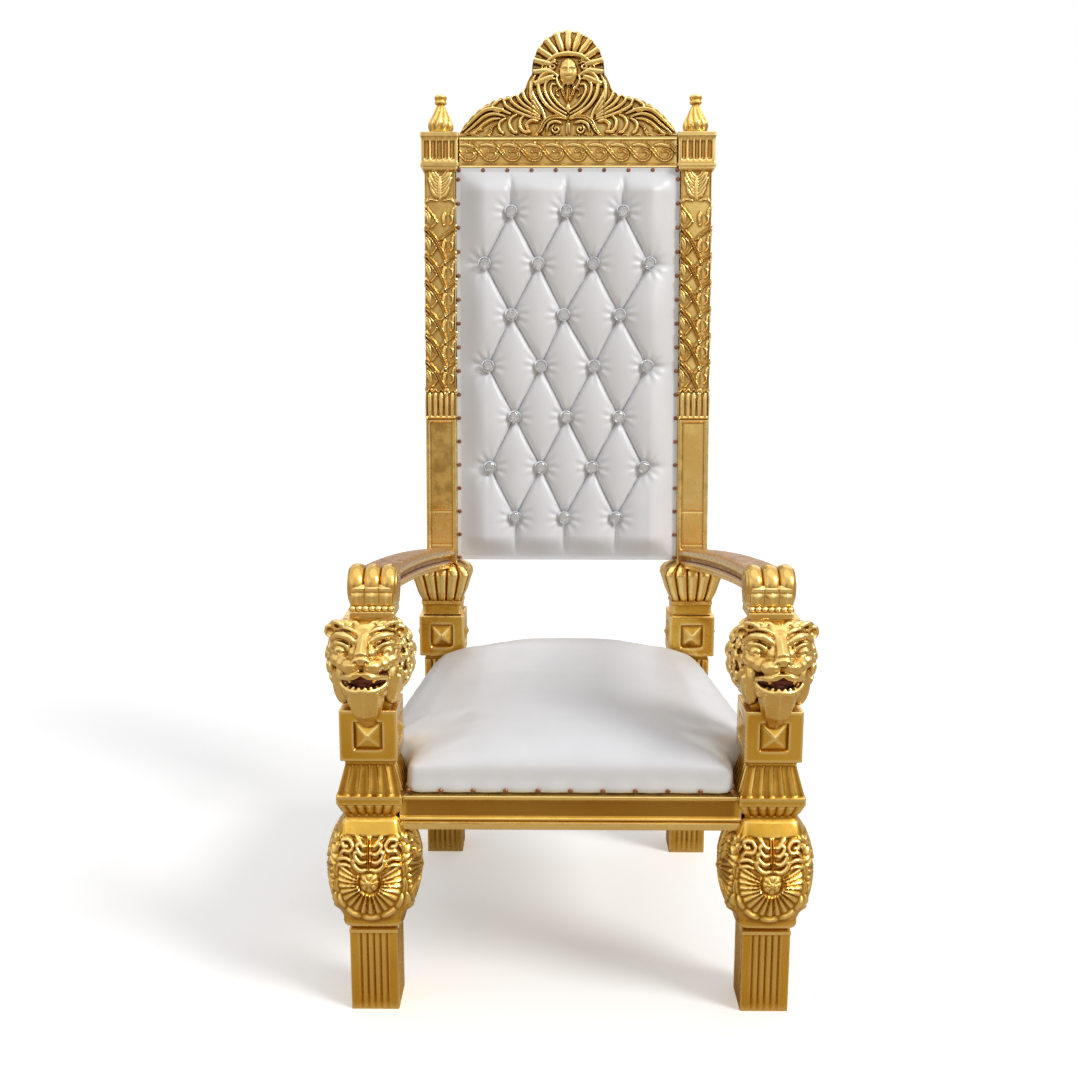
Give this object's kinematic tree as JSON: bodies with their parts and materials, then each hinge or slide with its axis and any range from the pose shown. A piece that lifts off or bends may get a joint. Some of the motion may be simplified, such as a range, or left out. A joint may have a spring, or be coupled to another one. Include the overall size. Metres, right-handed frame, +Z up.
{
  "type": "throne",
  "caption": "Tall gilded carved throne with lion-head arm posts, shell knees, a tufted white back and a white seat.",
  "frame": {"origin": "centre of the bounding box, on the floor under the feet", "axes": "+Z up, the throne faces -Y, +X to the right as a viewer in front sees it"},
  "size_m": [0.874, 0.921, 1.8315],
  "materials": {
    "gold": "glossy gold paint over carved wood, darker in the recesses",
    "white_vinyl": "smooth white imitation leather over foam",
    "crystal": "clear cut glass in a bright chrome rim"
  },
  "bodies": {
    "root": {"front_leg_left": "gold", "front_leg_right": "gold", "arm_post_left": "gold", "arm_post_right": "gold", "arm_left": "gold", "arm_right": "gold", "rear_post_left": "gold", "rear_post_right": "gold", "finial_left": "gold", "finial_right": "gold", "seat_rail_front": "gold", "seat_rail_back": "gold", "seat_rail_left": "gold", "seat_rail_right": "gold", "top_rail": "gold", "crest": "gold", "seat_pad": "white_vinyl", "back_board": "white_vinyl", "back_pad": "white_vinyl", "button_1_1": "crystal", "button_1_2": "crystal", "button_1_3": "crystal", "button_2_1": "crystal", "button_2_2": "crystal", "button_2_3": "crystal", "button_2_4": "crystal", "button_3_1": "crystal", "button_3_2": "crystal", "button_3_3": "crystal", "button_4_1": "crystal", "button_4_2": "crystal", "button_4_3": "crystal", "button_4_4": "crystal", "button_5_1": "crystal", "button_5_2": "crystal", "button_5_3": "crystal", "button_6_1": "crystal", "button_6_2": "crystal", "button_6_3": "crystal", "button_6_4": "crystal", "button_7_1": "crystal", "button_7_2": "crystal", "button_7_3": "crystal"}
  },
  "joints": []
}
